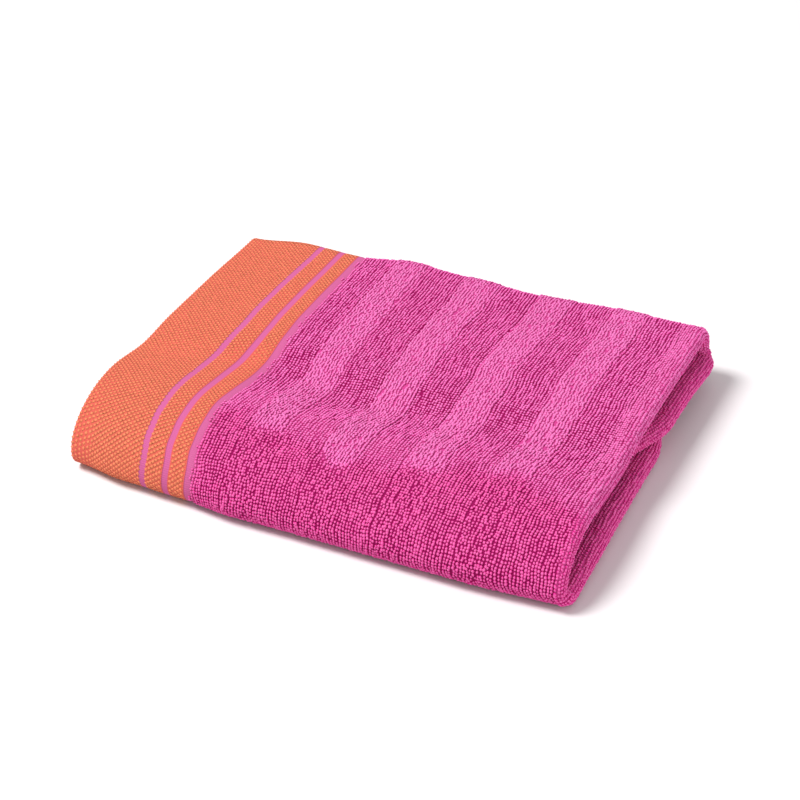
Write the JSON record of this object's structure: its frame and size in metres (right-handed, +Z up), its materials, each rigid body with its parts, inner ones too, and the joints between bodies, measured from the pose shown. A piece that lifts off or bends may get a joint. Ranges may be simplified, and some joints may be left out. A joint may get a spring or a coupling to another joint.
{
  "type": "folded bath towel",
  "caption": "Cotton terry bath towel with a woven border, folded crosswise and then lengthwise into a flat pad for a shelf.",
  "frame": {"origin": "on the surface that the towel lies on, under the middle of its bounding box", "axes": "+Z up, +X from the hems to the crosswise noses, +Y from the round front fold to the back fold"},
  "size_m": [0.3522, 0.2988, 0.0479],
  "materials": {
    "terry": "pink cotton terry with raised lighter stripes",
    "border": "flat woven orange border with thin pink lines"
  },
  "bodies": {
    "root": {"towel": "terry"}
  },
  "joints": []
}
